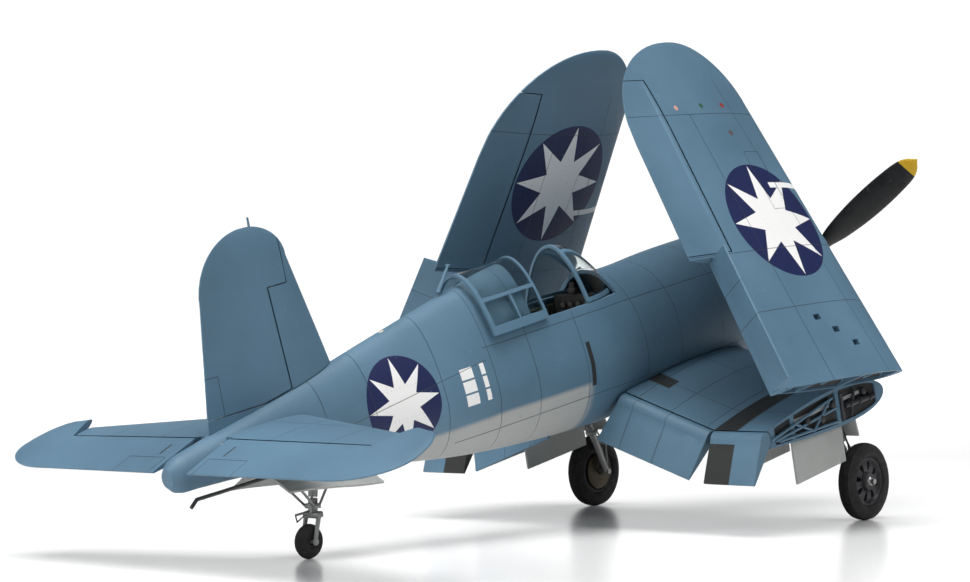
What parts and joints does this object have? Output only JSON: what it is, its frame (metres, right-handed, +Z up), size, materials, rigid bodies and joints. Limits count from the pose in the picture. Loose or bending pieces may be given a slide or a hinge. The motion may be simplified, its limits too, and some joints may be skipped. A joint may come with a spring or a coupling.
{
  "type": "radio-controlled folding-wing fighter plane",
  "caption": "Small radio-controlled carrier fighter with inverted-gull folding wings, radial cowl, sliding canopy, lowered flaps and fixed tailwheel gear.",
  "frame": {"origin": "middle of the bounding box at floor level, standing on the three wheels with the wings folded", "axes": "+Z up, +X to the port side, +Y aft, so the nose points to -Y"},
  "size_m": [0.1708, 0.3154, 0.158],
  "materials": {
    "blue_paint": "matt blue-gray paint over moulded plastic, lightly weathered",
    "pale_gray_paint": "matt pale gray paint",
    "propeller_black": "satin black with yellow blade tips",
    "tyre_rubber": "matt black rubber",
    "wheel_hub": "dark gray moulded wheel",
    "steel": "brushed",
    "motor_can": "machined",
    "gear_metal": "bare and gray-painted metal",
    "cockpit_green": "matt dark interior green",
    "cockpit_black": "matt black",
    "glazing": "clear, with painted frames",
    "electronics": "moulded case or shrink wrap",
    "engine_gray": "dark metallic gray"
  },
  "bodies": {
    "airframe": {"engine_cowl": "blue_paint", "cowl_flap_ring": "blue_paint", "dummy_engine": "engine_gray", "motor": "motor_can", "firewall": "cockpit_green", "fuselage_port_half": "blue_paint", "fuselage_starboard_half": "blue_paint", "wing_spar": "cockpit_black", "battery": "electronics", "receiver_board": "electronics", "elevator_servo": "electronics", "rudder_servo": "electronics", "cockpit_tub": "cockpit_green", "pilot_seat": "cockpit_green", "headrest_bulkhead": "cockpit_green", "instrument_panel": "cockpit_black", "control_stick": "cockpit_black", "antenna_mast": "blue_paint", "windscreen": "glazing", "inner_wing_port": "blue_paint", "inner_wing_starboard": "blue_paint", "fin": "blue_paint", "stabilizer_port": "blue_paint", "stabilizer_starboard": "blue_paint", "main_gear_leg_port": "gear_metal", "main_gear_leg_starboard": "gear_metal", "leg_fairing_port": "pale_gray_paint", "leg_fairing_starboard": "pale_gray_paint", "gear_door_inner_port": "pale_gray_paint", "gear_door_inner_starboard": "pale_gray_paint", "gear_door_outer_port": "pale_gray_paint", "gear_door_outer_starboard": "pale_gray_paint", "tail_gear_strut": "gear_metal", "arrestor_hook": "steel", "tail_gear_door_port": "pale_gray_paint", "tail_gear_door_starboard": "pale_gray_paint"},
    "propeller": {"propeller": "propeller_black", "propeller_hub_dome": "steel", "propeller_shaft": "steel"},
    "canopy": {"sliding_canopy": "glazing"},
    "rudder": {"rudder": "blue_paint"},
    "elevators": {"elevator_port": "blue_paint", "elevator_starboard": "blue_paint", "elevator_joiner": "steel"},
    "outer_wing_port": {"outer_wing_port": "blue_paint"},
    "outer_wing_starboard": {"outer_wing_starboard": "blue_paint"},
    "aileron_port": {"aileron_port": "blue_paint"},
    "aileron_starboard": {"aileron_starboard": "blue_paint"},
    "inboard_flap_port": {"inboard_flap_port": "blue_paint"},
    "inboard_flap_starboard": {"inboard_flap_starboard": "blue_paint"},
    "middle_flap_port": {"middle_flap_port": "blue_paint"},
    "middle_flap_starboard": {"middle_flap_starboard": "blue_paint"},
    "outer_flap_port": {"outer_flap_port": "blue_paint"},
    "outer_flap_starboard": {"outer_flap_starboard": "blue_paint"},
    "main_wheel_port": {"main_tyre_port": "tyre_rubber", "main_hub_port": "wheel_hub"},
    "main_wheel_starboard": {"main_tyre_starboard": "tyre_rubber", "main_hub_starboard": "wheel_hub"},
    "tail_fork": {"tail_wheel_fork": "gear_metal"},
    "tail_wheel": {"tail_wheel": "tyre_rubber"}
  },
  "joints": [
    {"name": "propeller_spin", "type": "hinge", "parent": "airframe", "child": "propeller", "pos_m": [0, -0.14339, 0.08718], "axis": [0, -0.9763, 0.2164], "continuous": true},
    {"name": "canopy_slide", "type": "slide", "parent": "airframe", "child": "canopy", "axis": [0, -0.9643, 0.2649], "range_m": [0, 0.0198]},
    {"name": "rudder_hinge", "type": "hinge", "parent": "airframe", "child": "rudder", "pos_m": [0, 0.11276, 0.04269], "axis": [0, 0.2757, 0.9612], "range_deg": [-25, 25]},
    {"name": "elevator_hinge", "type": "hinge", "parent": "airframe", "child": "elevators", "pos_m": [0, 0.14107, 0.03365], "axis": [1, 0, 0], "range_deg": [-10, 34]},
    {"name": "wing_fold_port", "type": "hinge", "parent": "airframe", "child": "outer_wing_port", "pos_m": [0.069, -0.05699, 0.04406], "axis": [-0.0543, 0.9888, -0.1389], "range_deg": [0, 110.74]},
    {"name": "wing_fold_starboard", "type": "hinge", "parent": "airframe", "child": "outer_wing_starboard", "pos_m": [-0.069, -0.05699, 0.04406], "axis": [-0.0543, -0.9888, 0.1389], "range_deg": [0, 110.74]},
    {"name": "aileron_hinge_port", "type": "hinge", "parent": "outer_wing_port", "child": "aileron_port", "pos_m": [0.05212, -0.02276, 0.08578], "axis": [-0.4801, 0.0226, 0.8769], "range_deg": [-20, 20]},
    {"name": "aileron_hinge_starboard", "type": "hinge", "parent": "outer_wing_starboard", "child": "aileron_starboard", "pos_m": [-0.05212, -0.02276, 0.08578], "axis": [0.4801, 0.0226, 0.8769], "range_deg": [-20, 20]},
    {"name": "inboard_flap_hinge_port", "type": "hinge", "parent": "airframe", "child": "inboard_flap_port", "pos_m": [0.0132, -0.01749, 0.04147], "axis": [0.9428, -0.0721, -0.3254], "range_deg": [0, 50]},
    {"name": "inboard_flap_hinge_starboard", "type": "hinge", "parent": "airframe", "child": "inboard_flap_starboard", "pos_m": [-0.0132, -0.01749, 0.04147], "axis": [0.9428, 0.0721, 0.3254], "range_deg": [0, 50]},
    {"name": "middle_flap_hinge_port", "type": "hinge", "parent": "airframe", "child": "middle_flap_port", "pos_m": [0.0495, -0.02021, 0.02923], "axis": [1, -0.0013, -0.0058], "range_deg": [0, 50]},
    {"name": "middle_flap_hinge_starboard", "type": "hinge", "parent": "airframe", "child": "middle_flap_starboard", "pos_m": [-0.0495, -0.02021, 0.02923], "axis": [1, 0.0013, 0.0058], "range_deg": [0, 50]},
    {"name": "outer_flap_hinge_port", "type": "hinge", "parent": "outer_wing_port", "child": "outer_flap_port", "pos_m": [0.07507, -0.01779, 0.04421], "axis": [-0.4835, 0.0101, 0.8753], "range_deg": [0, 50]},
    {"name": "outer_flap_hinge_starboard", "type": "hinge", "parent": "outer_wing_starboard", "child": "outer_flap_starboard", "pos_m": [-0.07507, -0.01779, 0.04421], "axis": [-0.4835, -0.0101, -0.8753], "range_deg": [0, 50]},
    {"name": "main_wheel_spin_port", "type": "hinge", "parent": "airframe", "child": "main_wheel_port", "pos_m": [0.0574, -0.09199, 0.01269], "axis": [1, 0, 0], "continuous": true},
    {"name": "main_wheel_spin_starboard", "type": "hinge", "parent": "airframe", "child": "main_wheel_starboard", "pos_m": [-0.0574, -0.09199, 0.01269], "axis": [1, 0, 0], "continuous": true},
    {"name": "tail_caster", "type": "hinge", "parent": "airframe", "child": "tail_fork", "pos_m": [0, 0.10388, 0.01741], "axis": [0, 0.0016, 1], "range_deg": [-60, 60]},
    {"name": "tail_wheel_spin", "type": "hinge", "parent": "tail_fork", "child": "tail_wheel", "pos_m": [0, 0.10562, 0.00494], "axis": [1, 0, 0], "continuous": true}
  ],
  "couplings": [
    {"joint": "aileron_hinge_starboard", "follows": "aileron_hinge_port", "ratio": 1},
    {"joint": "inboard_flap_hinge_starboard", "follows": "inboard_flap_hinge_port", "ratio": 1},
    {"joint": "middle_flap_hinge_port", "follows": "inboard_flap_hinge_port", "ratio": 1},
    {"joint": "middle_flap_hinge_starboard", "follows": "inboard_flap_hinge_port", "ratio": 1},
    {"joint": "outer_flap_hinge_port", "follows": "inboard_flap_hinge_port", "ratio": 1},
    {"joint": "outer_flap_hinge_starboard", "follows": "inboard_flap_hinge_port", "ratio": 1}
  ]
}
